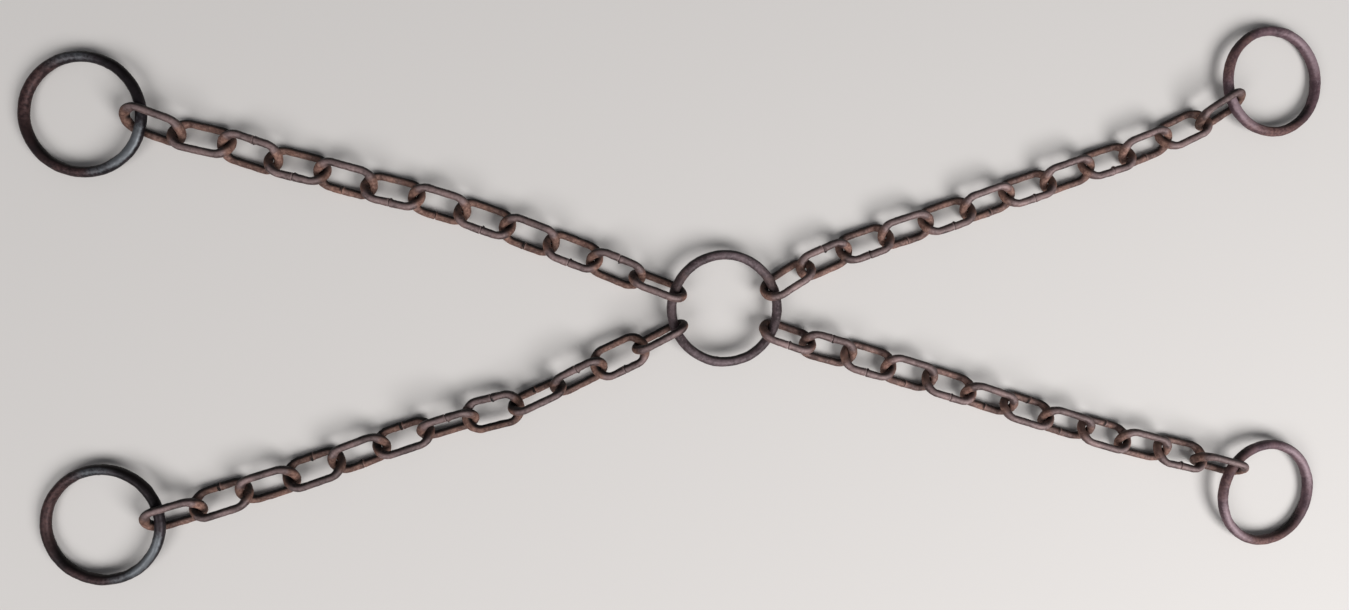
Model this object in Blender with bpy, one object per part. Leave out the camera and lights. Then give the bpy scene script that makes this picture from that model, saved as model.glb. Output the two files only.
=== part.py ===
"""Four-leg iron chain laid out flat in an X.

A centre ring holds four legs. Each leg is twelve oval links of round bar with a ring at its far end.
Every piece is one bar, bent round and closed on itself, so it is one closed sweep of the bar's section.

Metres, +Z up. +X runs along the long way of the X, and the chain lies on the plane z = 0.
The origin is under the middle of the whole layout's box.
"""

import math
from dataclasses import dataclass

import bpy
import numpy as np
from mathutils import Matrix

# Driving dimensions of the bar stock and of the pieces bent from it
LINK_WIRE = 0.0060
LINK_INNER_LENGTH = 0.0372
LINK_OUTER_WIDTH = 0.0284
RING_OUTER_DIAMETER = 0.0930
CENTRE_RING_WIRE = 0.0077
END_RING_WIRE = 0.0081

# Pieces that touch keep this gap
TOUCH_GAP = 0.00030

# Heights of the bars that their neighbours hold clear of the floor: a carried link, and the centre ring.
# The centre ring tilts, because the steeper links on its -X side hold that side a little higher.
CARRIED_LINK_HEIGHT = 0.0120
CENTRE_RING_HEIGHT = 0.0124
CENTRE_RING_TILT = math.radians(1.0)

# Facets: sides of the round section, and steps along each bow of a link and around each ring
SECTION_SIDES = 8
BOW_STEPS = 6
RING_STEPS = 36

# The contact search starts this far past the usual reach, backs off until the bars clear and halves the step
SEARCH_START = 0.0040
SEARCH_STEP = 0.0005
SEARCH_HALVINGS = 12

# Two straight steps count as parallel when the square of the area between them is below this
PARALLEL_SPREAD = 1e-18

# Sizes that follow from the driving dimensions
LINK_BOW_RADIUS = (LINK_OUTER_WIDTH - LINK_WIRE) / 2
LINK_HALF_LENGTH = (LINK_INNER_LENGTH + LINK_WIRE) / 2
LINK_STRAIGHT_HALF = LINK_HALF_LENGTH - LINK_BOW_RADIUS
FACET_SHARE = math.cos(math.pi / SECTION_SIDES)


@dataclass(frozen=True)
class Leg:
    """One leg of the chain, with each link's lie listed from the centre ring outwards.

    A heading is the angle of a link's long axis to +X, in degrees, and a roll is how far the link leans
    about that axis. A link with a positive roll lies on its bar nearer to -Y and lifts the other one.
    The hook bearing runs from the centre ring's middle to the first link's, and the ring bearing from the
    last link's middle to the end ring's.
    """

    name: str
    hook_bearing: float
    ring_bearing: float
    headings: tuple
    rolls: tuple
    carried: tuple = ()

    @property
    def side(self):
        """+1 where the leg runs out to +X, and -1 where it runs out to -X."""
        return math.copysign(1.0, math.cos(math.radians(self.hook_bearing)))


LEGS = (
    Leg(
        name="upper_left",
        hook_bearing=161,
        ring_bearing=172,
        headings=(-21, -23, -21, -21, -19, -17, -14, -16, -14, -18, -13, -20),
        rolls=(-65, 38, -34, 34, -35, 34, -35, 34, -35, 30, -35, 43),
    ),
    Leg(
        name="lower_left",
        hook_bearing=203,
        ring_bearing=188,
        headings=(27, 25, 26, 24, 13, 16, 18, 20, 18, 17, 17, 16),
        rolls=(-80, -12, 49, -67, 0, 55, -40, 32, -32, 33, -37, 46),
        carried=(2, 5),
    ),
    Leg(
        name="upper_right",
        hook_bearing=24,
        ring_bearing=27,
        headings=(32, 23, 19, 18, 18, 19, 18, 19, 18, 22, 25, 32),
        rolls=(-55, 33, -32, 32, -35, 34, -35, 34, -35, 32, -35, 51),
    ),
    Leg(
        name="lower_right",
        hook_bearing=-24,
        ring_bearing=-30,
        headings=(-19, -16, -17, -17, -18, -19, -17, -18, -16, -15, -13, -16),
        rolls=(-55, 35, -30, 30, -35, 45, -35, 40, -35, 35, -30, 65),
    ),
)


def remove_everything():
    """Empties the scene of the objects a new file starts with."""
    for scene_object in list(bpy.data.objects):
        bpy.data.objects.remove(scene_object, do_unlink=True)


def iron(name, colour, roughness, metallic):
    """A bare iron surface: a Principled BSDF with its colour, roughness and metallic value."""
    material = bpy.data.materials.new(name)
    material.use_nodes = True
    shader = material.node_tree.nodes["Principled BSDF"]
    shader.inputs["Base Color"].default_value = (*colour, 1.0)
    shader.inputs["Roughness"].default_value = roughness
    shader.inputs["Metallic"].default_value = metallic
    return material


def link_outline():
    """Centre line of a link's bar in its own plane: points, and the outward direction at each."""
    angles = np.linspace(-math.pi / 2, math.pi / 2, BOW_STEPS + 1)
    outward = np.stack([np.cos(angles), np.sin(angles)], axis=1)
    right_bow = LINK_BOW_RADIUS * outward + (LINK_STRAIGHT_HALF, 0.0)
    return np.concatenate([right_bow, -right_bow]), np.concatenate([outward, -outward])


def ring_outline(radius):
    """Centre line of a ring's bar in its own plane, with a straight step across the axis at each end."""
    step = 2 * math.pi / RING_STEPS
    angles = (np.arange(RING_STEPS) + 0.5) * step
    outward = np.stack([np.cos(angles), np.sin(angles)], axis=1)
    return radius * outward, outward


def swept_bar(name, outline, wire, facet_turn):
    """A closed bar: the section's polygon at every point of the outline, joined by rings of quads.

    facet_turn turns the section about the bar, so that one flat side of it faces the floor.
    """
    points, outward = outline
    angles = (np.arange(SECTION_SIDES) + 0.5) * 2 * math.pi / SECTION_SIDES + facet_turn
    reach = wire / 2 * np.cos(angles)
    rise = wire / 2 * np.sin(angles)
    count = len(points)
    vertices = [
        (*(points[i] + outward[i] * reach[k]), rise[k]) for i in range(count) for k in range(SECTION_SIDES)
    ]
    faces = []
    for i in range(count):
        here = i * SECTION_SIDES
        ahead = (i + 1) % count * SECTION_SIDES
        for k in range(SECTION_SIDES):
            turn = (k + 1) % SECTION_SIDES
            faces.append((here + k, ahead + k, ahead + turn, here + turn))
    mesh = bpy.data.meshes.new(name)
    mesh.from_pydata(vertices, [], faces)
    mesh.shade_smooth()
    return mesh


def placement(middle, heading, roll, height):
    """Matrix that lays a link: rolled about its long axis, then turned to its heading."""
    turn = Matrix.Rotation(math.radians(heading), 4, "Z") @ Matrix.Rotation(math.radians(roll), 4, "X")
    return Matrix.Translation((middle[0], middle[1], height)) @ turn


def ring_placement(middle, bearing, tilt, height):
    """Matrix that lays a ring with its side towards the bearing lowered by the tilt, in radians."""
    turn = Matrix.Rotation(bearing, 4, "Z") @ Matrix.Rotation(tilt, 4, "Y")
    return Matrix.Translation((middle[0], middle[1], height)) @ turn


def placed(outline, matrix):
    """The outline's points carried to where the matrix puts them."""
    points = outline[0]
    flat = np.column_stack([points, np.zeros(len(points)), np.ones(len(points))])
    return (flat @ np.array(matrix).T)[:, :3]


def clearance(path, other):
    """Smallest distance between two closed paths made of straight steps."""
    step = (np.roll(path, -1, axis=0) - path)[:, None]
    other_step = (np.roll(other, -1, axis=0) - other)[None]
    between = path[:, None] - other[None]
    own = (step * step).sum(-1)
    theirs = (other_step * other_step).sum(-1)
    shared = (step * other_step).sum(-1)
    along_own = (step * between).sum(-1)
    along_other = (other_step * between).sum(-1)
    spread = own * theirs - shared * shared
    parallel = spread < PARALLEL_SPREAD
    first = (shared * along_other - along_own * theirs) / np.where(parallel, 1.0, spread)
    first = np.where(parallel, 0.0, first)
    second = np.clip((shared * np.clip(first, 0, 1) + along_other) / theirs, 0, 1)
    first = np.clip((shared * second - along_own) / own, 0, 1)
    apart = between + step * first[..., None] - other_step * second[..., None]
    return math.sqrt((apart * apart).sum(-1).min())


def pulled_taut(path_at, anchor, reach, need):
    """How far out a hooked path can slide before its bar touches the bar that it hooks on."""
    slack = reach + SEARCH_START
    while clearance(path_at(slack), anchor) < need:
        slack -= SEARCH_STEP
    blocked = slack + SEARCH_STEP
    for _ in range(SEARCH_HALVINGS):
        halfway = (slack + blocked) / 2
        if clearance(path_at(halfway), anchor) >= need:
            slack = halfway
        else:
            blocked = halfway
    return slack


def direction(degrees):
    """Unit vector on the floor at an angle to +X."""
    return np.array([math.cos(math.radians(degrees)), math.sin(math.radians(degrees))])


@dataclass
class Piece:
    """A bar's mesh, where it lies and what it is made of."""

    mesh: bpy.types.Mesh
    matrix: Matrix
    material: bpy.types.Material

    def corners(self):
        """The mesh's vertices where they lie."""
        local = np.array([vertex.co for vertex in self.mesh.vertices])
        matrix = np.array(self.matrix)
        return local @ matrix[:3, :3].T + matrix[:3, 3]

    def add(self, layout):
        """Puts the piece in the scene, parented to the layout."""
        self.mesh.materials.append(self.material)
        scene_object = bpy.data.objects.new(self.mesh.name, self.mesh)
        bpy.context.collection.objects.link(scene_object)
        scene_object.parent = layout
        scene_object.matrix_local = self.matrix


LINK_OUTLINE = link_outline()
LINK_REST_HEIGHT = LINK_WIRE / 2 * FACET_SHARE


def link_height(leg, number):
    """Height of a link's long axis: lying on its lower bar, or carried by its neighbours' bows."""
    if number in leg.carried:
        return CARRIED_LINK_HEIGHT
    lean = math.radians(abs(leg.rolls[number - 1]))
    return LINK_REST_HEIGHT + LINK_BOW_RADIUS * math.sin(lean)


def lay_links(leg, centre_ring_path):
    """Matrices of a leg's links, each pulled taut on the one before and the first on the centre ring."""
    matrices = []
    anchor = centre_ring_path
    start = np.zeros(2)
    away = direction(leg.hook_bearing)
    reach = RING_OUTER_DIAMETER / 2 + LINK_HALF_LENGTH - LINK_WIRE
    need = (CENTRE_RING_WIRE + LINK_WIRE) / 2 + TOUCH_GAP
    for number, (heading, roll) in enumerate(zip(leg.headings, leg.rolls), start=1):
        if matrices:
            away = leg.side * direction((heading + leg.headings[number - 2]) / 2)
            reach = LINK_INNER_LENGTH
            need = LINK_WIRE + TOUCH_GAP
        height = link_height(leg, number)

        def matrix_at(slide):
            return placement(start + away * slide, heading, roll, height)

        slide = pulled_taut(lambda s: placed(LINK_OUTLINE, matrix_at(s)), anchor, reach, need)
        matrices.append(matrix_at(slide))
        anchor = placed(LINK_OUTLINE, matrices[-1])
        start = start + away * slide
    return matrices, start


def lay_end_ring(leg, last_link_path, last_middle):
    """Matrix of an end ring: its far side lies on the floor and the last link's bow holds up the near one."""
    radius = (RING_OUTER_DIAMETER - END_RING_WIRE) / 2
    outline = ring_outline(radius)
    far_height = END_RING_WIRE / 2 * FACET_SHARE
    held_height = link_height(leg, len(leg.rolls))
    span = 2 * radius * math.cos(math.pi / RING_STEPS)
    tilt = math.asin((held_height - far_height) / span)
    away = direction(leg.ring_bearing)
    bearing = math.radians(leg.ring_bearing)
    height = (held_height + far_height) / 2

    def matrix_at(slide):
        return ring_placement(last_middle + away * slide, bearing, tilt, height)

    reach = radius + LINK_HALF_LENGTH - LINK_WIRE
    need = (LINK_WIRE + END_RING_WIRE) / 2 + TOUCH_GAP
    slide = pulled_taut(lambda s: placed(outline, matrix_at(s)), last_link_path, reach, need)
    return outline, matrix_at(slide), tilt


def middle_of(pieces):
    """Middle of the box around all the pieces."""
    corners = np.concatenate([piece.corners() for piece in pieces])
    return (corners.min(axis=0) + corners.max(axis=0)) / 2


def build():
    """Lays the centre ring, then each leg from the inside out, then centres the whole layout."""
    remove_everything()
    link_iron = iron("link_iron", (0.150, 0.098, 0.080), roughness=0.62, metallic=0.55)
    centre_iron = iron("centre_ring_iron", (0.110, 0.088, 0.085), roughness=0.55, metallic=0.60)
    left_iron = iron("left_ring_iron", (0.055, 0.048, 0.048), roughness=0.45, metallic=0.70)
    right_iron = iron("right_ring_iron", (0.120, 0.085, 0.080), roughness=0.58, metallic=0.60)

    centre_outline = ring_outline((RING_OUTER_DIAMETER - CENTRE_RING_WIRE) / 2)
    centre_matrix = ring_placement((0.0, 0.0), 0.0, CENTRE_RING_TILT, CENTRE_RING_HEIGHT)
    centre_mesh = swept_bar("centre_ring", centre_outline, CENTRE_RING_WIRE, 0.0)
    pieces = [Piece(centre_mesh, centre_matrix, centre_iron)]
    centre_path = placed(centre_outline, centre_matrix)

    for leg in LEGS:
        matrices, last_middle = lay_links(leg, centre_path)
        for number, matrix in enumerate(matrices, start=1):
            facet_turn = math.radians(abs(leg.rolls[number - 1]))
            mesh = swept_bar(f"{leg.name}_link_{number:02d}", LINK_OUTLINE, LINK_WIRE, facet_turn)
            pieces.append(Piece(mesh, matrix, link_iron))
        last_path = placed(LINK_OUTLINE, matrices[-1])
        outline, matrix, tilt = lay_end_ring(leg, last_path, last_middle)
        mesh = swept_bar(f"{leg.name}_ring", outline, END_RING_WIRE, tilt)
        pieces.append(Piece(mesh, matrix, left_iron if leg.side < 0 else right_iron))

    layout = bpy.data.objects.new("chain_layout", None)
    bpy.context.collection.objects.link(layout)
    middle = middle_of(pieces)
    layout.location = (-middle[0], -middle[1], 0.0)
    for piece in pieces:
        piece.add(layout)


build()
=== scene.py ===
"""Looks of the four-leg iron chain: its bars, their rust and scale, the floor, the light and the camera.

Every link and ring is one round bar bent into a loop and butt-welded. The loops lie where the frame's
solids lie, and each one takes the place of its solid. Metres, +Z up.
"""

import logging
import math
from dataclasses import dataclass, field
from enum import Enum

import bpy
import numpy as np
from mathutils import Matrix, Vector


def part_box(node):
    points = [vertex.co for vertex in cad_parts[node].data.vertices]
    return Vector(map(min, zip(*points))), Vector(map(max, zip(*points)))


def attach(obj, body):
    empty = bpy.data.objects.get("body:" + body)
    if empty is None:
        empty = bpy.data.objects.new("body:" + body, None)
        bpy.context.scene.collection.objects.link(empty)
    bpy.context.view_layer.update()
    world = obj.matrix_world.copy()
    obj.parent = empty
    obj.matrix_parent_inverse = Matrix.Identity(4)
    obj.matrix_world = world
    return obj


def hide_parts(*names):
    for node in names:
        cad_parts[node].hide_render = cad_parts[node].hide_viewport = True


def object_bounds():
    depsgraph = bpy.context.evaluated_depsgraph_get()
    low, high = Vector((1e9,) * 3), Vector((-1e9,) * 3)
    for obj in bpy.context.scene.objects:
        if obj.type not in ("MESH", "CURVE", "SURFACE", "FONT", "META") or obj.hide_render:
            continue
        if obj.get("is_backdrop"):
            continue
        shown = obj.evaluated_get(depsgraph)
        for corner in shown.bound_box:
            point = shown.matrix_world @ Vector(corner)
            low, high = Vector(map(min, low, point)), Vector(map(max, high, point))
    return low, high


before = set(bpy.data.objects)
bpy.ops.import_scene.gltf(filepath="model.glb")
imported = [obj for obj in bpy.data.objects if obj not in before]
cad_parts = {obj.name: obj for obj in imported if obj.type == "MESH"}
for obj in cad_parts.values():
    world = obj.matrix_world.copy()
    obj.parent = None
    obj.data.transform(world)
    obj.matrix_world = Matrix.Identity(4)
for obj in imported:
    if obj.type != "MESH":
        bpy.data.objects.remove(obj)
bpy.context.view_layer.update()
LOG = logging.getLogger("iron_chain")
MM = 0.001

Colour = tuple[float, float, float]
Lobes = tuple[tuple[float, float, float], ...]


def seen(red: int, green: int, blue: int) -> Colour:
    """Turns a colour given as the eye sees it, 0 to 255, into linear light.

    Args:
        red: Red share.
        green: Green share.
        blue: Blue share.

    Returns:
        The same colour in linear light, 0 to 1.
    """
    shares = (red / 255, green / 255, blue / 255)
    return tuple(c / 12.92 if c <= 0.04045 else ((c + 0.055) / 1.055) ** 2.4 for c in shares)


def bump_at(distance: np.ndarray, width: float) -> np.ndarray:
    """A smooth hump of height 1 that is centred on distance 0.

    Args:
        distance: How far each point is from the hump's middle.
        width: Distance at which the hump has dropped to about a third.

    Returns:
        The hump's height at each point.
    """
    return np.exp(-((distance / width) ** 2))


def eased(value: np.ndarray, low: float, high: float) -> np.ndarray:
    """A smooth step from 0 at low to 1 at high.

    Args:
        value: Where the step is read.
        low: Value at and below which the step is 0.
        high: Value at and above which the step is 1.

    Returns:
        The step's height at each value.
    """
    share = np.clip((value - low) / (high - low), 0.0, 1.0)
    return share * share * (3.0 - 2.0 * share)


def lobe(bearing: np.ndarray, towards: float, spread: float) -> np.ndarray:
    """How much each bearing faces a chosen one.

    Args:
        bearing: Bearings round a ring, in degrees.
        towards: Bearing where the lobe is 1.
        spread: Degrees to either side over which the lobe fades to 0.

    Returns:
        The lobe's height at each bearing, 0 to 1.
    """
    turned = np.abs((bearing - towards + 180.0) % 360.0 - 180.0)
    return 1.0 - eased(turned, 0.25 * spread, spread)


class WeldSide(Enum):
    """The long side of a link that shows its butt weld, as the leg lies in front of the viewer."""

    UPPER = "U"
    LOWER = "L"
    FAINT = "."


@dataclass(frozen=True)
class IronGrain:
    """Unevenness of a forged bar: waves of a few sizes laid over each other, the same on every run."""

    seed: int
    waves: int = 36
    bands: tuple[tuple[float, float], ...] = ((9.0, 0.060), (3.6, 0.035), (1.8, 0.016))
    pit_size: float = 2.6
    pit_depth: float = 0.070

    def field_at(self, points: np.ndarray, size: float, salt: int) -> np.ndarray:
        """A smooth random field with a spread of about 1.

        Args:
            points: Places to read it at, in millimetres.
            size: Typical length of its waves, in millimetres.
            salt: Picks one of this grain's fields.

        Returns:
            The field at each point.
        """
        draw = np.random.default_rng([self.seed, salt])
        ways = draw.normal(size=(3, self.waves))
        ways *= 2 * math.pi / (size * draw.uniform(0.7, 1.4, self.waves) * np.linalg.norm(ways, axis=0))
        starts = draw.uniform(0, 2 * math.pi, self.waves)
        return np.cos(points @ ways + starts).sum(axis=1) * math.sqrt(2.0 / self.waves)

    def relief(self, points: np.ndarray) -> np.ndarray:
        """How far the bar's surface stands out or in.

        Args:
            points: Places on the bar, in millimetres.

        Returns:
            The relief at each point, in millimetres.
        """
        total = np.zeros(len(points))
        for salt, (size, height) in enumerate(self.bands):
            total += height * self.field_at(points, size, salt)
        pits = eased(self.field_at(points, self.pit_size, len(self.bands)), 1.1, 2.2)
        return total - self.pit_depth * pits


@dataclass
class BarLoop:
    """A round bar bent into a closed loop, with relief, finish, painted highlights and painted shade on its
    surface.

    Places along the bar and across it are arrays with a row for each section and a column for each side.
    """

    name: str
    points: np.ndarray
    outward: np.ndarray
    across: np.ndarray
    along: np.ndarray
    wire: float
    sides: int
    grain: IronGrain
    lift: np.ndarray = field(init=False)
    masks: dict[str, np.ndarray] = field(default_factory=dict)

    def __post_init__(self) -> None:
        """Starts with a plain round surface."""
        self.lift = np.zeros((len(self.points), self.sides))

    @property
    def turn(self) -> np.ndarray:
        """Angle of each side round the bar: 0 faces out of the loop, and half a turn faces its eye."""
        return np.arange(self.sides) * 2 * math.pi / self.sides

    def facing(self) -> np.ndarray:
        """Finds the way that every point of the skin faces.

        Returns:
            The directions, section by section.
        """
        out = np.cos(self.turn)[None, :, None] * self.outward[:, None, :]
        up = np.sin(self.turn)[None, :, None] * self.across[None, None, :]
        return out + up

    def round_skin(self) -> np.ndarray:
        """Places every point of the skin as on a plain round bar.

        Returns:
            The points, section by section, in metres.
        """
        return self.points[:, None, :] + self.wire / 2 * self.facing()

    def surface(self) -> np.ndarray:
        """Places every point of the bar's skin.

        Returns:
            The points, section by section, in metres.
        """
        skin = self.round_skin()
        relief = self.grain.relief(skin.reshape(-1, 3) / MM).reshape(self.lift.shape)
        return skin + (relief + self.lift)[..., None] * MM * self.facing()

    def build(self) -> bpy.types.Object:
        """Makes the mesh, with its masks as point attributes.

        Returns:
            The new object, linked to the scene.
        """
        count, sides = self.lift.shape
        section = np.arange(count)[:, None]
        side = np.arange(sides)[None, :]
        here, ahead = section * sides, (section + 1) % count * sides
        after = (side + 1) % sides
        faces = np.stack([here + side, ahead + side, ahead + after, here + after], axis=-1).reshape(-1, 4)
        mesh = bpy.data.meshes.new(self.name)
        mesh.from_pydata(self.surface().reshape(-1, 3), [], faces)
        mesh.shade_smooth()
        for label, values in self.masks.items():
            layer = mesh.attributes.new(label, "FLOAT", "POINT")
            spread = np.broadcast_to(values, self.lift.shape)
            layer.data.foreach_set("value", spread.astype(np.float32).ravel())
        piece = bpy.data.objects.new(self.name, mesh)
        bpy.context.scene.collection.objects.link(piece)
        return piece


class NodeDesk:
    """Short calls that lay out the nodes of one material."""

    def __init__(self, name: str) -> None:
        """Starts a material with an empty Principled shader.

        Args:
            name: The material's name.
        """
        self.material = bpy.data.materials.new(name)
        self.material.use_nodes = True
        self.tree = self.material.node_tree
        self.shader = self.tree.nodes["Principled BSDF"]

    def node(
        self, kind: str, inputs: dict[str | int, object] | None = None, **settings: object
    ) -> bpy.types.Node:
        """Adds a node.

        Args:
            kind: The node's type.
            inputs: Values or sockets for its inputs.
            **settings: Properties of the node.

        Returns:
            The new node.
        """
        made = self.tree.nodes.new(kind)
        for key, value in settings.items():
            setattr(made, key, value)
        for key, value in (inputs or {}).items():
            self.feed(made.inputs[key], value)
        return made

    def feed(self, socket: bpy.types.NodeSocket, value: object) -> None:
        """Links a socket to an input, or sets the input's value.

        Args:
            socket: The input.
            value: An output socket, a number or a colour.
        """
        if isinstance(value, bpy.types.NodeSocket):
            self.tree.links.new(value, socket)
        elif isinstance(value, tuple) and len(value) == 3 and socket.type == "RGBA":
            socket.default_value = (*value, 1.0)
        else:
            socket.default_value = value

    def place(self) -> bpy.types.NodeSocket:
        """Where a point of the surface is, in the object's own space."""
        return self.node("ShaderNodeTexCoord").outputs["Object"]

    def mask(self, label: str) -> bpy.types.NodeSocket:
        """One of the mesh's masks."""
        return self.node("ShaderNodeAttribute", attribute_name=label).outputs["Fac"]

    def noise(self, size: float, detail: float = 3.0, roughness: float = 0.55) -> bpy.types.NodeSocket:
        """A cloudy field from 0 to 1.

        Args:
            size: Size of its clouds, in metres.
            detail: How many finer layers it has.
            roughness: How strong the finer layers are.

        Returns:
            The field's socket.
        """
        inputs = {"Vector": self.place(), "Scale": 1.0 / size, "Detail": detail, "Roughness": roughness}
        return self.node("ShaderNodeTexNoise", inputs).outputs["Fac"]

    def step(self, value: bpy.types.NodeSocket, low: float, high: float) -> bpy.types.NodeSocket:
        """A smooth step from 0 at low to 1 at high.

        Args:
            value: Where it is read.
            low: Value where it starts.
            high: Value where it ends.

        Returns:
            The step's socket.
        """
        inputs = {"Value": value, "From Min": low, "From Max": high}
        return self.node("ShaderNodeMapRange", inputs, interpolation_type="SMOOTHSTEP").outputs["Result"]

    def maths(
        self, operation: str, first: object, second: object, third: object = 0.0
    ) -> bpy.types.NodeSocket:
        """One sum, kept between 0 and 1.

        Args:
            operation: Name of the operation.
            first: First number or socket.
            second: Second number or socket.
            third: Third number or socket, for the operations that take one.

        Returns:
            The result's socket.
        """
        inputs = {0: first, 1: second, 2: third}
        return self.node("ShaderNodeMath", inputs, operation=operation, use_clamp=True).outputs["Value"]

    def mix(self, share: object, first: object, second: object, blend: str = "MIX") -> bpy.types.NodeSocket:
        """Lays one colour over another.

        Args:
            share: How much of the second shows.
            first: Colour below.
            second: Colour above.
            blend: How they mix.

        Returns:
            The mixed colour's socket.
        """
        made = self.node("ShaderNodeMix", data_type="RGBA", blend_type=blend)
        self.feed(made.inputs["Factor"], share)
        self.feed(made.inputs[6], first)
        self.feed(made.inputs[7], second)
        return made.outputs[2]


@dataclass(frozen=True)
class IronFinish:
    """Old bare iron: dark scale, a purple-brown skin, pale crests that are partly dusty and partly painted
    highlight, orange rust, and black dirt mixed with painted shade.

    The meshes' masks say where rust, the dusty crests with painted highlight, and the dirt with painted
    shade are, and noise breaks their edges up.
    """

    name: str
    scale: Colour
    skin: Colour
    # Pale colour of dusty crests and of painted highlights.
    dust_and_highlight: Colour
    rust_deep: Colour
    rust_bright: Colour
    # Near-black of dirt, also used for painted shade.
    grime_and_shade: Colour = seen(16, 11, 11)
    metallic: float = 0.15
    specular: float = 0.25
    sheen_roughness: float = 0.40
    dull_roughness: float = 0.66
    rust_dulling: float = 0.18
    speckle: float = 0.35
    grit_grime: float = 0.35
    bump: float = 0.30
    bump_height: float = 0.0003
    cloud_size: float = 0.0090
    flake_size: float = 0.0022
    grit_size: float = 0.0006
    cloud_edge: tuple[float, float] = (0.38, 0.62)
    speckle_edge: tuple[float, float] = (0.50, 0.70)
    rust_edge: tuple[float, float] = (0.35, 0.68)
    grit_edge: tuple[float, float] = (0.55, 0.75)
    mask_edge: tuple[float, float] = (0.12, 0.88)
    flake_relief: float = 0.65

    def material(self) -> bpy.types.Material:
        """Builds the node material.

        Returns:
            The finished material.
        """
        desk = NodeDesk(self.name)
        cloud = desk.noise(self.cloud_size, detail=4.0)
        flake = desk.noise(self.flake_size, detail=4.0, roughness=0.65)
        grit = desk.noise(self.grit_size, detail=3.0, roughness=0.7)
        skin = desk.mix(desk.step(cloud, *self.cloud_edge), self.scale, self.skin)
        speckles = desk.maths("MULTIPLY", desk.step(flake, *self.speckle_edge), self.speckle)
        skin = desk.mix(speckles, skin, self.dust_and_highlight)
        # Pale crests: partly dusty, partly painted highlight on the skin that faces the light.
        skin = desk.mix(self.broken(desk, desk.mask("dust_and_highlight"), flake), skin, self.dust_and_highlight)
        rust = desk.mix(desk.step(flake, *self.rust_edge), self.rust_deep, self.rust_bright)
        rust_share = self.broken(desk, desk.mask("rust"), cloud)
        skin = desk.mix(rust_share, skin, rust)
        specks = desk.maths("MULTIPLY", desk.step(grit, *self.grit_edge), self.grit_grime)
        skin = desk.mix(specks, skin, self.grime_and_shade)
        # Dark dirt, and painted shade on the back side, the underside and inside the hooked bows.
        skin = desk.mix(self.broken(desk, desk.mask("grime_and_shade"), flake), skin, self.grime_and_shade)
        tone = desk.node("ShaderNodeVectorMath", operation="SCALE")
        desk.feed(tone.inputs[0], skin)
        desk.feed(tone.inputs["Scale"], desk.mask("tone"))
        desk.feed(desk.shader.inputs["Base Color"], tone.outputs["Vector"])
        dull_inputs = {"Value": flake, "To Min": self.sheen_roughness, "To Max": self.dull_roughness}
        dull = desk.node("ShaderNodeMapRange", dull_inputs)
        matt = desk.maths("MULTIPLY_ADD", rust_share, self.rust_dulling, dull.outputs["Result"])
        desk.feed(desk.shader.inputs["Roughness"], matt)
        desk.shader.inputs["Metallic"].default_value = self.metallic
        desk.shader.inputs["Specular IOR Level"].default_value = self.specular
        flakes = desk.maths("MULTIPLY", flake, self.flake_relief)
        relief = desk.maths("MULTIPLY_ADD", grit, 1.0 - self.flake_relief, flakes)
        bump_inputs = {"Height": relief, "Strength": self.bump, "Distance": self.bump_height}
        desk.feed(desk.shader.inputs["Normal"], desk.node("ShaderNodeBump", bump_inputs).outputs["Normal"])
        return desk.material

    def broken(
        self, desk: NodeDesk, mask: bpy.types.NodeSocket, noise: bpy.types.NodeSocket
    ) -> bpy.types.NodeSocket:
        """Breaks a mask's edge up with a noise.

        Args:
            desk: The desk of the material.
            mask: The mask, 0 to 1.
            noise: The noise, 0 to 1.

        Returns:
            The broken mask's socket.
        """
        centred = desk.node("ShaderNodeMath", {0: noise, 1: 0.5}, operation="SUBTRACT").outputs[0]
        return desk.step(desk.maths("ADD", mask, centred), *self.mask_edge)


LINK_IRON = IronFinish(
    name="link_iron",
    scale=seen(61, 47, 46),
    skin=seen(99, 80, 78),
    dust_and_highlight=seen(130, 111, 110),
    rust_deep=seen(93, 65, 57),
    rust_bright=seen(140, 108, 95),
)
CENTRE_RING_IRON = IronFinish(
    name="centre_ring_iron",
    scale=seen(54, 43, 45),
    skin=seen(84, 70, 73),
    # Pale crests of this ring: painted highlights, and a little dusty top.
    dust_and_highlight=seen(120, 105, 109),
    rust_deep=seen(64, 48, 45),
    rust_bright=seen(98, 76, 68),
)
LEFT_RING_IRON = IronFinish(
    name="left_ring_iron",
    scale=seen(26, 22, 25),
    skin=seen(44, 38, 42),
    # The blue-grey for its crests is a painted sheen, also on a little dusty top.
    dust_and_highlight=seen(100, 103, 107),
    rust_deep=seen(46, 33, 34),
    rust_bright=seen(78, 57, 56),
    metallic=0.55,
    sheen_roughness=0.28,
    rust_dulling=0.04,
    speckle=0.10,
    bump=0.20,
)
RIGHT_RING_IRON = IronFinish(
    name="right_ring_iron",
    scale=seen(72, 54, 60),
    skin=seen(98, 76, 82),
    # Its pale crests are painted highlights, and a little dusty top.
    dust_and_highlight=seen(138, 118, 124),
    rust_deep=seen(74, 50, 50),
    rust_bright=seen(120, 90, 84),
    speckle=0.22,
)


@dataclass
class Solid:
    """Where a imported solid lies: its middle, and its long, middling and short ways."""

    node: str
    middle: np.ndarray = field(init=False)
    ways: np.ndarray = field(init=False)

    def __post_init__(self) -> None:
        """Reads the solid's middle and its three ways off its corners."""
        corners = np.array([vertex.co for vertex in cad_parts[self.node].data.vertices])
        corners = np.unique(np.round(corners, 7), axis=0)
        self.middle = corners.mean(axis=0)
        _, _, self.ways = np.linalg.svd(corners - self.middle, full_matrices=False)


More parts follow.
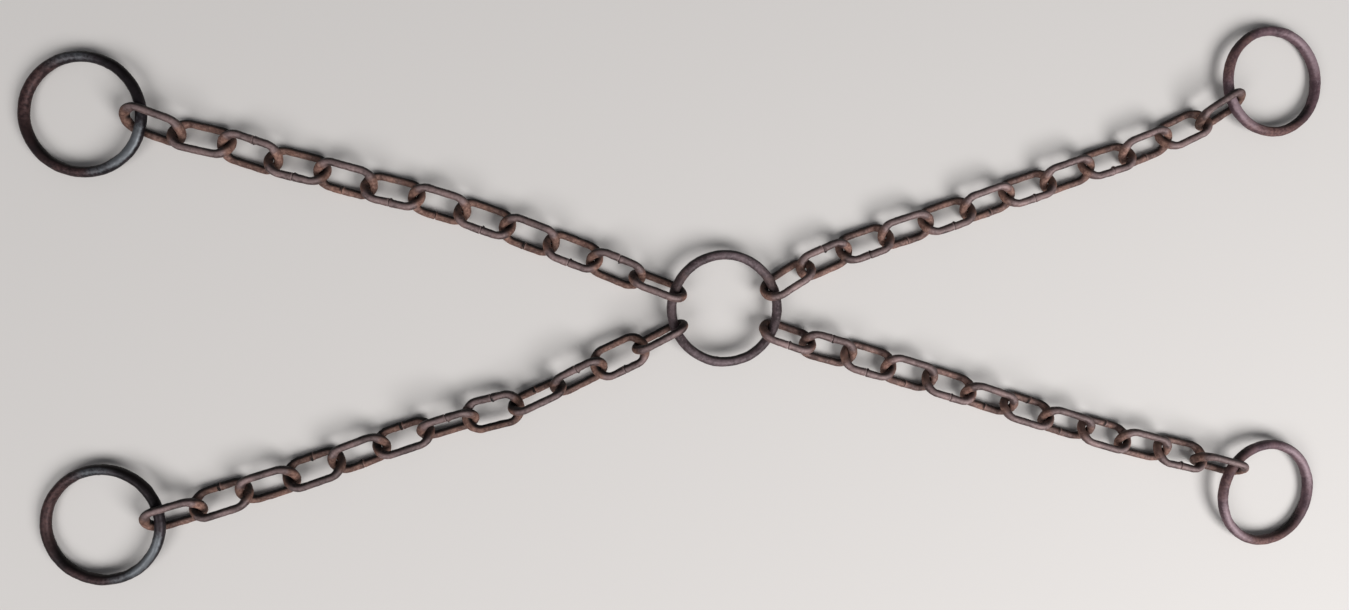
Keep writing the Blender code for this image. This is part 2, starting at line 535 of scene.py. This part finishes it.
@dataclass(frozen=True)
class Neighbour:
    """A bar that a link hooks.

    The line holds points of its centre line, in metres. The share says how much of the room between the two
    bars the link may fill.
    """

    line: np.ndarray
    wire: float
    share: float

    def room(self, skin: np.ndarray) -> np.ndarray:
        """How far a link's skin may grow towards this bar.

        Args:
            skin: Places on the link's plain skin, in metres.

        Returns:
            The room at each place, in millimetres.
        """
        places, line = skin / MM, self.line / MM
        lengths = (places**2).sum(axis=1)[:, None] + (line**2).sum(axis=1)[None, :]
        squares = lengths - 2 * places @ line.T
        nearest = np.sqrt(np.maximum(squares.min(axis=1), 0.0))
        return self.share * (nearest - self.wire / 2)


@dataclass
class Weld:
    """A butt weld: a collar round the seam between the bar's two ends, and a knob pressed out beside it."""

    place: float
    groove: float
    collar: float
    knob: float
    skew: float
    slip: float
    knob_turn: float
    shown: float = 1.0

    seam_width: float = 0.38
    collar_width: float = 1.35
    knob_width: float = 1.15
    knob_shift: float = 0.9
    slip_reach: float = 5.0
    upset: float = 0.16
    upset_width: float = 6.5
    collar_lean: float = 0.25
    knob_from: float = 0.45
    side_blend: float = 0.6
    seam_grime: tuple[float, float] = (0.45, 0.50)
    knob_grime: float = 0.85
    wiped: float = 0.8

    def press(self, bar: BarLoop, length: float) -> None:
        """Raises the collar and the knob in the bar, and cuts the seam.

        Args:
            bar: The bar.
            length: The bar's whole length, in millimetres.
        """
        from_seam = (bar.along[:, None] - self.place + length / 2) % length - length / 2
        from_seam = from_seam - self.skew * np.sin(bar.turn)[None, :]
        facing = np.cos(bar.turn - self.knob_turn)[None, :]
        seam = bump_at(from_seam, self.seam_width)
        collar = bump_at(from_seam, self.collar_width)
        knob = bump_at(from_seam - self.knob_shift, self.knob_width) * eased(facing, self.knob_from, 1.0)
        step = np.tanh(from_seam / self.seam_width) * bump_at(from_seam, self.slip_reach)
        lean = 1.0 - self.collar_lean + self.collar_lean * facing
        bar.lift += self.collar * collar * lean + self.knob * knob - self.groove * seam
        upset = self.upset * self.shown * bump_at(from_seam, self.upset_width)
        bar.lift += self.slip * step * facing + upset
        beside = self.shown * collar * (1.0 - seam) * eased(-from_seam, -self.side_blend, self.side_blend)
        inside, outside = self.seam_grime
        dark_seam = self.shown * seam * (inside + outside * np.clip(facing, 0.0, 1.0))
        dark_knob = self.knob_grime * self.shown * knob
        grime_and_shade = np.maximum(bar.masks["grime_and_shade"], np.maximum(dark_seam, dark_knob))
        bar.masks["grime_and_shade"] = grime_and_shade * (1.0 - self.wiped * beside)
        bar.masks["dust_and_highlight"] = np.maximum(bar.masks["dust_and_highlight"], beside)


@dataclass
class Link:
    """One oval link of the chain.

    The bar starts at the middle of the raised side and runs round the bow on the +X side first.
    """

    node: str
    seed: int
    weld_side: WeldSide
    wire: float = 6.0
    inner_length: float = 37.2
    outer_width: float = 28.4
    sections: int = 228
    sides: int = 26
    crowding: float = 2.6
    crowd_width: float = 2.4
    ruler_marks: int = 4001
    level_below: float = 0.05
    weld_shift: float = 1.5
    sway_height: tuple[float, float] = (0.04, 0.12)
    swells: tuple[float, float] = (0.5, 0.5)
    neighbours: tuple[Neighbour, ...] = ()
    clearance: float = 0.05
    swell_reach: float = 7.5
    flank_swell: float = 0.95
    flank_at: float = 8.5
    flank_reach: float = 4.2
    tone: float = 1.0
    # Strength of the painted shade on the back side, which faces away from the lamps.
    shade: float = 0.45
    rust: float = 1.0
    tone_spread: float = 0.18
    patch_size: float = 17.0
    patch_spread: float = 0.13
    patch_salt: int = 8
    bow_rust_reach: float = 12.0
    bow_rust: float = 0.62
    low_rust: float = 0.42
    least_rust: float = 0.10
    # How pale the top is: partly dusty, partly painted highlight, more on the raised side.
    dust_and_highlight_share: float = 0.32
    raised_dust_and_highlight: float = 0.24
    # Painted contact shade inside each bow where the next bar hooks, painted shade on the underside, and
    # more painted shade on the back of the low side.
    hook_shade: float = 0.85
    underside_shade: float = 0.35
    low_shade: float = 0.15
    faint_weld: float = 0.2

    def __post_init__(self) -> None:
        """Works out the link's axes and the lengths of its bows and sides."""
        solid = Solid(self.node)
        self.middle = solid.middle
        self.long_way = solid.ways[0] * math.copysign(1.0, solid.ways[0][0])
        wide_way = solid.ways[1]
        leaning = abs(wide_way[2]) > self.level_below
        self.wide_way = wide_way * math.copysign(1.0, wide_way[2] if leaning else wide_way[1])
        self.bow = (self.outer_width - self.wire) / 2
        self.straight = (self.inner_length + self.wire) / 2 - self.bow
        self.length = 4 * self.straight + 2 * math.pi * self.bow
        self.draw = np.random.default_rng(self.seed)

    @property
    def upper_is_raised(self) -> bool:
        """Whether the side that lies further up the picture is the raised one."""
        return self.wide_way[1] > 0

    def weld_place(self) -> float:
        """Picks where along the bar the weld is. A faint one is on the side that lies lower.

        Returns:
            The place, in millimetres from the middle of the raised side.
        """
        on_upper = self.weld_side is WeldSide.UPPER
        on_raised = self.weld_side is not WeldSide.FAINT and on_upper == self.upper_is_raised
        shift = self.draw.uniform(-self.weld_shift, self.weld_shift)
        return (0.0 if on_raised else self.length / 2) + shift

    def tip(self, towards: float) -> np.ndarray:
        """Where the bar's centre line turns in a bow.

        Args:
            towards: +1 for the bow on the +X side, and -1 for the other.

        Returns:
            The place, in metres.
        """
        return self.middle + towards * (self.inner_length + self.wire) / 2 * MM * self.long_way

    def steps(self, crowd_at: float) -> np.ndarray:
        """Places along the bar, closer together near the weld.

        Args:
            crowd_at: Where they are closest, in millimetres.

        Returns:
            The places, in millimetres.
        """
        fine = np.linspace(0.0, self.length, self.ruler_marks)
        away = (fine - crowd_at + self.length / 2) % self.length - self.length / 2
        density = 1.0 + self.crowding * bump_at(away, self.crowd_width)
        reached = np.concatenate([[0.0], np.cumsum((density[1:] + density[:-1]) / 2)])
        return np.interp(np.arange(self.sections) / self.sections * reached[-1], reached, fine)

    def outline(self, along: np.ndarray) -> tuple[np.ndarray, np.ndarray]:
        """The oval's centre line in its own plane.

        Args:
            along: Places along the bar, in millimetres.

        Returns:
            The points, in millimetres, and the outward direction at each.
        """
        half = self.length / 2
        second_half = along >= half
        run = along - half * second_half
        angle = np.clip((run - self.straight) / self.bow, 0.0, math.pi)
        x = np.minimum(run, self.straight) - np.maximum(run - self.straight - math.pi * self.bow, 0.0)
        outward = np.stack([np.sin(angle), np.cos(angle)], axis=1)
        points = np.stack([x, np.zeros_like(x)], axis=1) + self.bow * outward
        flip = np.where(second_half, -1.0, 1.0)[:, None]
        return points * flip, outward * flip

    def in_space(self, points: np.ndarray) -> np.ndarray:
        """Puts points of the link's own plane where the link lies.

        Args:
            points: The points, in millimetres.

        Returns:
            The points, in metres.
        """
        return self.middle + points @ np.stack([self.long_way, self.wide_way]) * MM

    def centre_line(self) -> np.ndarray:
        """Finds points of the bar's centre line.

        Returns:
            The points, in metres.
        """
        points, _ = self.outline(np.linspace(0.0, self.length, self.sections, endpoint=False))
        return self.in_space(points)

    def from_bow(self, along: np.ndarray) -> np.ndarray:
        """Distance along the bar to the nearer bow's middle, in millimetres.

        Args:
            along: Places along the bar, in millimetres.

        Returns:
            The distances.
        """
        half = self.length / 2
        return np.abs(along % half - half / 2)

    def bar(self) -> BarLoop:
        """Bends the bar and lays its relief, its patches of finish, and its painted highlights and shade.

        Returns:
            The bar, ready to be built.
        """
        seam_at = self.weld_place()
        along = self.steps(seam_at % self.length)
        points, outward = self.outline(along)
        sway_height = self.draw.uniform(*self.sway_height)
        sway = sway_height * np.sin(4 * math.pi * along / self.length + self.draw.uniform(0, 6))
        points = points + sway[:, None] * outward
        bar = BarLoop(
            name=f"{self.node}_bar",
            points=self.in_space(points),
            outward=outward @ np.stack([self.long_way, self.wide_way]),
            across=np.cross(self.long_way, self.wide_way),
            along=along,
            wire=self.wire * MM,
            sides=self.sides,
            grain=IronGrain(self.seed),
        )
        self.thicken(bar)
        self.age(bar)
        self.weld(seam_at, math.copysign(1.0, bar.across[2])).press(bar, self.length)
        return bar

    def thicken(self, bar: BarLoop) -> None:
        """Thickens each bow, where the bar was upset as it was bent: on its inside and on its two faces.

        The skin grows only into the link's share of the room to each bar that it hooks.

        Args:
            bar: The bar.
        """
        to_bow = self.from_bow(bar.along)[:, None]
        swell = np.where(bar.along < self.length / 2, *self.swells)[:, None]
        middle = swell * bump_at(to_bow, self.swell_reach)
        flanks = self.flank_swell * bump_at(to_bow - self.flank_at, self.flank_reach)
        growth = (middle + flanks) * (0.5 - 0.5 * np.cos(bar.turn)[None, :])
        skin = bar.round_skin().reshape(-1, 3)
        for neighbour in self.neighbours:
            room = neighbour.room(skin).reshape(growth.shape) - self.clearance
            growth = np.minimum(growth, np.maximum(room, 0.0))
        bar.lift += growth

    def age(self, bar: BarLoop) -> None:
        """Sets where the bar is rusty, where it is dusty or carries a painted highlight, where it is dirty
        or in painted shade, and how dark its tone is.

        Args:
            bar: The bar.
        """
        to_bow = self.from_bow(bar.along)[:, None]
        raised = np.clip(bar.outward @ self.wide_way, -1.0, 1.0)[:, None]
        inside = np.abs(bar.turn - math.pi)[None, :]
        outward_share, across_share = np.cos(bar.turn)[None, :], np.sin(bar.turn)[None, :]
        skin_up = outward_share * bar.outward[:, 2:3] + across_share * bar.across[2]
        skin_back = outward_share * bar.outward[:, 1:2] + across_share * bar.across[1]
        bows = 1.0 - eased(to_bow, 0.35 * self.bow_rust_reach, self.bow_rust_reach)
        low_side = eased(-raised, 0.1, 0.9)
        rust = self.rust * (self.bow_rust * bows + self.low_rust * low_side + self.least_rust)
        bar.masks["rust"] = np.clip(rust, 0.0, 1.0) * np.ones_like(skin_up)
        # Pale top: partly dusty, partly a painted highlight, stronger on the raised side.
        dust_and_highlight_share = self.dust_and_highlight_share + self.raised_dust_and_highlight * eased(raised, -0.2, 0.8)
        bar.masks["dust_and_highlight"] = eased(skin_up, 0.35, 1.0) * dust_and_highlight_share
        # Painted shade: contact shade inside each hooked bow, shade on the underside, and shade on the back
        # side away from the lamps, deeper on the low side.
        hooked = self.hook_shade * bump_at(to_bow, 4.5) * bump_at(inside, 0.9)
        shaded = (self.shade + self.low_shade * low_side) * eased(skin_back, -0.10, 0.70)
        bar.masks["grime_and_shade"] = hooked + self.underside_shade * eased(-skin_up, 0.2, 0.9) + shaded
        patches = bar.grain.field_at(bar.points / MM, self.patch_size, self.patch_salt)[:, None]
        tone = self.tone * (1.0 + self.draw.uniform(-self.tone_spread, self.tone_spread))
        bar.masks["tone"] = tone * np.clip(1.0 + self.patch_spread * patches, 0.6, 1.35)

    def weld(self, place: float, up_side: float) -> Weld:
        """The link's butt weld, strong where the photo shows it and faint elsewhere.

        Args:
            place: Where along the bar it is, in millimetres.
            up_side: +1 where the bar's sides count upwards from its outside, and -1 where they count down.

        Returns:
            The weld.
        """
        shown = self.faint_weld if self.weld_side is WeldSide.FAINT else 1.0
        return Weld(
            place=place,
            groove=shown * self.draw.uniform(0.50, 0.80),
            collar=shown * self.draw.uniform(0.12, 0.30),
            knob=shown * self.draw.uniform(0.55, 1.00),
            skew=self.draw.uniform(-0.5, 0.5),
            slip=shown * self.draw.uniform(-0.18, 0.18),
            knob_turn=math.pi - up_side * self.draw.uniform(0.1, 0.8),
            shown=shown,
        )

    def build(self, finish: bpy.types.Material) -> bpy.types.Object:
        """Makes the link and puts it in place of its solid.

        Args:
            finish: The iron's material.

        Returns:
            The link's object.
        """
        piece = self.bar().build()
        piece.data.materials.append(finish)
        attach(piece, "root")
        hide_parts(self.node)
        return piece


@dataclass
class Ring:
    """A ring of round bar. Its bearings are read off the floor: 0 is +X, and 90 is +Y."""

    node: str
    slot_name: str
    seed: int
    wire: float
    weld_bearing: float
    # The lobes that feed the pale crests paint highlights and sheen round the ring; the rust and dark lobes
    # are its own patches.
    rust: Lobes = ()
    dust_and_highlight: Lobes = ()
    grime_and_shade: Lobes = ()
    # Strength of the painted shade on the ring's back side.
    shade: float = 0.45
    outer_diameter: float = 93.0
    sections: int = 460
    sides: int = 36
    wobble: float = 0.10
    least_rust: float = 0.12
    # A pale top all round, partly dusty and partly painted highlight, and painted shade on the underside.
    dust_and_highlight_share: float = 0.15
    underside_shade: float = 0.40

    def __post_init__(self) -> None:
        """Works out the ring's plane from its solid."""
        solid = Solid(self.node)
        self.middle = solid.middle
        self.axis = solid.ways[2] * math.copysign(1.0, solid.ways[2][2])
        self.radius = (self.outer_diameter - self.wire) / 2
        self.length = 2 * math.pi * self.radius

    @property
    def angles(self) -> np.ndarray:
        """The angle of each section round the ring, from +X."""
        return np.arange(self.sections) * 2 * math.pi / self.sections

    def outward(self) -> np.ndarray:
        """Finds the way out of the ring at each section.

        Returns:
            The directions.
        """
        east = np.array([1.0, 0.0, 0.0]) - self.axis * self.axis[0]
        east /= np.linalg.norm(east)
        north = np.cross(self.axis, east)
        return np.cos(self.angles)[:, None] * east + np.sin(self.angles)[:, None] * north

    def centre_line(self) -> np.ndarray:
        """Points of the bar's centre line, in metres."""
        return self.middle + self.radius * MM * self.outward()

    def distance(self, place: np.ndarray) -> float:
        """How far a place is from the bar's centre line.

        Args:
            place: The place, in metres.

        Returns:
            The distance, in millimetres.
        """
        offset = (place - self.middle) / MM
        height = float(offset @ self.axis)
        return math.hypot(height, float(np.linalg.norm(offset - height * self.axis)) - self.radius)

    def lobes(self, bearing: np.ndarray, parts: Lobes) -> np.ndarray:
        """Adds up lobes round the ring.

        Args:
            bearing: Bearings round the ring, in degrees.
            parts: For each lobe, its bearing, its spread and its strength.

        Returns:
            The strongest lobe at each bearing.
        """
        total = np.zeros_like(bearing)
        for towards, spread, strength in parts:
            total = np.maximum(total, strength * lobe(bearing, towards, spread))
        return total

    def bar(self) -> BarLoop:
        """Bends the bar and lays its relief, its patches of finish, and its painted highlights and shade.

        Returns:
            The bar, ready to be built.
        """
        angle, outward = self.angles, self.outward()
        waves = np.sin(5 * angle + self.seed) * np.sin(3 * angle + 2 * self.seed)
        radius = self.radius + self.wobble * waves
        bar = BarLoop(
            name=f"{self.node}_bar",
            points=self.middle + outward * radius[:, None] * MM,
            outward=outward,
            across=self.axis,
            along=angle * self.radius,
            wire=self.wire * MM,
            sides=self.sides,
            grain=IronGrain(self.seed, bands=((14.0, 0.070), (5.0, 0.030), (2.2, 0.012))),
        )
        bearing = np.degrees(angle)[:, None]
        outward_share, axis_share = np.cos(bar.turn)[None, :], np.sin(bar.turn)[None, :]
        skin_up = outward_share * outward[:, 2:3] + axis_share * self.axis[2]
        skin_back = outward_share * outward[:, 1:2] + axis_share * self.axis[1]
        top = eased(skin_up, 0.30, 1.0)
        bar.masks["rust"] = self.least_rust + self.lobes(bearing, self.rust) * np.ones_like(top)
        # Pale top: a little dusty all round, with painted highlights in the lobes.
        bar.masks["dust_and_highlight"] = (self.dust_and_highlight_share + self.lobes(bearing, self.dust_and_highlight)) * top
        # Painted shade on the back side and the underside, over the ring's own darker patches.
        shaded = self.shade * eased(skin_back, 0.15, 0.85)
        under = self.underside_shade * eased(-skin_up, 0.2, 0.9)
        bar.masks["grime_and_shade"] = self.lobes(bearing, self.grime_and_shade) + under + shaded
        bar.masks["tone"] = np.ones((1, 1))
        self.weld().press(bar, self.length)
        return bar

    def weld(self) -> Weld:
        """Describes the ring's butt weld, which is ground nearly flush.

        Returns:
            The weld.
        """
        return Weld(
            place=math.radians(self.weld_bearing % 360) * self.radius,
            groove=0.10,
            collar=0.12,
            knob=0.10,
            skew=0.2,
            slip=0.06,
            knob_turn=math.pi,
            shown=0.3,
        )

    def build(self, finish: bpy.types.Material) -> bpy.types.Object:
        """Makes the ring and puts it in place of its solid.

        Args:
            finish: The iron's material.

        Returns:
            The ring's object.
        """
        piece = self.bar().build()
        piece.data.materials.append(finish)
        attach(piece, "root")
        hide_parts(self.node)
        return piece


@dataclass
class Leg:
    """One leg of the chain: its links, counted outwards from the centre ring, and its end ring.

    The weld sides are one letter for each link: U or L for its upper or lower side, and a dot where no weld
    shows. Tone, shade and rust say how light the leg is, how deep its painted shade behind is, and how rusty
    it is, beside the others.
    """

    name: str
    seed: int
    weld_sides: str
    tone: float
    shade: float
    rust: float
    ring: Ring
    most_swell: float = 1.3
    bare_slack: float = 0.12
    link_share: float = 0.5
    ring_share: float = 1.0

    def links(self) -> list[Link]:
        """Describes the leg's links, from the centre ring outwards.

        Returns:
            The links.
        """
        looks = {"tone": self.tone, "shade": self.shade, "rust": self.rust}
        return [
            Link(f"{self.name}_link_{number:02d}", self.seed + number, WeldSide(letter), **looks)
            for number, letter in enumerate(self.weld_sides, start=1)
        ]

    def fit_bows(self, links: list[Link], centre: Ring) -> None:
        """Says which bars each link hooks, and how much its bows are thickened to bear on them.

        Two hooked links halve the room between them. A ring isn't thickened, so its link may take all of it.

        Args:
            links: The leg's links.
            centre: The centre ring.
        """
        side = math.copysign(1.0, links[-1].middle[0] - links[0].middle[0])
        slacks = [centre.distance(links[0].tip(-side)) - (centre.wire + links[0].wire) / 2]
        for near, far in zip(links, links[1:]):
            slacks.append((np.linalg.norm(near.tip(side) - far.tip(-side)) / MM - near.wire) / 2)
        slacks.append(self.ring.distance(links[-1].tip(side)) - (self.ring.wire + links[-1].wire) / 2)
        swells = [float(np.clip(slack - self.bare_slack, 0.0, self.most_swell)) for slack in slacks]
        for link, inner, outer in zip(links, swells, swells[1:]):
            link.swells = (outer, inner) if side > 0 else (inner, outer)
        bars = [Neighbour(centre.centre_line(), centre.wire, self.ring_share)]
        bars += [Neighbour(link.centre_line(), link.wire, self.link_share) for link in links]
        bars.append(Neighbour(self.ring.centre_line(), self.ring.wire, self.ring_share))
        for link, before, after in zip(links, bars, bars[2:]):
            link.neighbours = (before, after)

    def build(
        self, centre: Ring, link_finish: bpy.types.Material, ring_finish: bpy.types.Material
    ) -> None:
        """Makes the leg's links and its end ring.

        Args:
            centre: The centre ring.
            link_finish: Material of the links.
            ring_finish: Material of the end ring.
        """
        links = self.links()
        self.fit_bows(links, centre)
        for link in links:
            LOG.info("link %s: %s, bows %.2f %.2f", link.node, link.build(link_finish).name, *link.swells)
        LOG.info("ring %s: %s", self.ring.node, self.ring.build(ring_finish).name)


@dataclass
class Chain:
    """The whole chain: the centre ring and its four legs."""

    end_wire: float = 8.1
    centre_wire: float = 7.7

    def end_ring(
        self, leg: str, slot_name: str, seed: int, weld_bearing: float, **looks: Lobes | float
    ) -> Ring:
        """Describes the ring at the end of a leg.

        Args:
            leg: The leg's name.
            slot_name: The record's material slot of the ring.
            seed: Seed of its unevenness.
            weld_bearing: Bearing of its weld, in degrees.
            **looks: Its lobes of rust, painted highlight and darker patches, and its painted back shade.

        Returns:
            The ring.
        """
        return Ring(f"{leg}_ring", slot_name, seed, self.end_wire, weld_bearing, **looks)

    def legs(self) -> list[Leg]:
        """Describes the four legs.

        Returns:
            The legs.
        """
        # Left rings: deep painted shade on the back, and pale lobes that paint highlights and a steel-blue
        # sheen.
        left_patches = {
            "shade": 0.70,
            "rust": ((165.0, 75.0, 0.80), (-110.0, 50.0, 0.50)),
            "dust_and_highlight": ((-38.0, 40.0, 0.85), (98.0, 38.0, 0.32), (-75.0, 18.0, 0.35)),
            "grime_and_shade": ((40.0, 60.0, 0.55), (-150.0, 45.0, 0.45)),
        }
        # Right rings: pale lobes that paint highlights.
        right_patches = {
            "rust": ((-80.0, 60.0, 0.55), (150.0, 50.0, 0.45)),
            "dust_and_highlight": ((40.0, 50.0, 0.60), (-140.0, 50.0, 0.60)),
            "grime_and_shade": ((-45.0, 40.0, 0.40), (135.0, 30.0, 0.30)),
        }
        upper_left = self.end_ring("upper_left", "left_ring_iron", 11, 60, **left_patches)
        lower_left = self.end_ring("lower_left", "left_ring_iron", 12, 90, **left_patches)
        upper_right = self.end_ring("upper_right", "right_ring_iron", 13, 80, **right_patches)
        lower_right = self.end_ring("lower_right", "right_ring_iron", 14, 20, **right_patches)
        return [
            Leg("upper_left", 100, ".ULLLLLLLU..", tone=0.97, shade=0.66, rust=1.25, ring=upper_left),
            Leg("lower_left", 200, ".LUUUUULU.U.", tone=0.87, shade=0.72, rust=1.20, ring=lower_left),
            Leg("upper_right", 300, ".ULLLLL.LL..", tone=1.04, shade=0.56, rust=1.00, ring=upper_right),
            Leg("lower_right", 400, "LULLLLULU.L.", tone=1.06, shade=0.54, rust=0.90, ring=lower_right),
        ]

    def build(self) -> None:
        """Makes every piece of the chain."""
        link_finish = LINK_IRON.material()
        ring_finishes = {
            "left_ring_iron": LEFT_RING_IRON.material(),
            "right_ring_iron": RIGHT_RING_IRON.material(),
        }
        centre = Ring(
            "centre_ring",
            "centre_ring_iron",
            10,
            self.centre_wire,
            weld_bearing=-100.0,
            # Painted shade on the back side, and pale lobes that paint highlights.
            shade=0.75,
            dust_and_highlight=((60.0, 60.0, 0.35), (-100.0, 50.0, 0.35)),
            rust=((30.0, 25.0, 0.30), (150.0, 25.0, 0.30)),
        )
        LOG.info("ring %s: %s", centre.node, centre.build(CENTRE_RING_IRON.material()).name)
        for leg in self.legs():
            leg.build(centre, link_finish, ring_finishes[leg.ring.slot_name])


@dataclass
class Studio:
    """The floor, the soft light and the camera."""

    floor_half: float = 6.0
    floor_tint: Colour = seen(206, 202, 199)
    floor_roughness: float = 0.9
    sky: Colour = (0.93, 0.95, 1.0)
    sky_strength: float = 0.17
    key_distance: float = 1.28
    key_reach: float = 1.42
    key_height: float = 1.88
    key_size: float = 1.70
    key_aim: tuple[float, float] = (0.2, 1.0)
    key_powers: tuple[float, float] = (31.0, 78.0)
    camera_aside: tuple[float, float] = (-0.1262, 0.0470)
    camera_height: float = 0.7776
    camera_pitch: float = -3.27
    camera_yaw: float = -6.41
    lens: float = 26.0
    sensor: float = 36.0

    def floor(self) -> None:
        """Lays the plain floor under the lowest bar."""
        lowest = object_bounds()[0][2]
        half = self.floor_half
        signs = ((-1, -1), (1, -1), (1, 1), (-1, 1))
        corners = [(x * half, y * half, lowest) for x, y in signs]
        mesh = bpy.data.meshes.new("floor")
        mesh.from_pydata(corners, [], [(0, 1, 2, 3)])
        desk = NodeDesk("pale_floor")
        desk.feed(desk.shader.inputs["Base Color"], self.floor_tint)
        desk.shader.inputs["Roughness"].default_value = self.floor_roughness
        mesh.materials.append(desk.material)
        plane = bpy.data.objects.new("floor", mesh)
        bpy.context.scene.collection.objects.link(plane)
        plane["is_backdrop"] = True

    def lights(self) -> None:
        """Sets a dim even sky and two soft lamps, one in front of each half of the chain."""
        world = bpy.data.worlds.new("soft_sky")
        world.use_nodes = True
        sky = world.node_tree.nodes["Background"]
        sky.inputs["Color"].default_value = (*self.sky, 1.0)
        sky.inputs["Strength"].default_value = self.sky_strength
        bpy.context.scene.world = world
        for name, side, power in zip(("key_left", "key_right"), (-1.0, 1.0), self.key_powers):
            lamp = bpy.data.lights.new(name, "AREA")
            lamp.shape = "DISK"
            lamp.size = self.key_size
            lamp.energy = power
            holder = bpy.data.objects.new(name, lamp)
            place = Vector((side * self.key_reach, -self.key_distance, self.key_height))
            aim = Vector((side * self.key_aim[0], self.key_aim[1], 0.0))
            turn = (aim - place).to_track_quat("-Z", "Y").to_matrix().to_4x4()
            holder.matrix_world = Matrix.Translation(place) @ turn
            bpy.context.scene.collection.objects.link(holder)

    def camera(self) -> None:
        """Sets the camera where the picture was taken, nearly straight above the centre ring."""
        data = bpy.data.cameras.new("camera")
        data.lens = self.lens
        data.sensor_width = self.sensor
        data.sensor_fit = "HORIZONTAL"
        low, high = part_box("centre_ring")
        middle = (low + high) / 2
        aside_x, aside_y = self.camera_aside
        place = Vector((middle.x + aside_x, middle.y + aside_y, self.camera_height))
        pitch = Matrix.Rotation(math.radians(self.camera_pitch), 4, "X")
        yaw = Matrix.Rotation(math.radians(self.camera_yaw), 4, "Y")
        holder = bpy.data.objects.new("camera", data)
        holder.matrix_world = Matrix.Translation(place) @ yaw @ pitch
        bpy.context.scene.collection.objects.link(holder)
        bpy.context.scene.camera = holder

    def build(self) -> None:
        """Sets the floor, the lights, the camera and plain colours."""
        self.floor()
        self.lights()
        self.camera()
        bpy.context.scene.view_settings.view_transform = "Standard"


def main() -> None:
    """Builds the chain and its studio."""
    logging.basicConfig(level=logging.INFO, format="%(message)s")
    Chain().build()
    Studio().build()


if __name__ == "__main__":
    main()
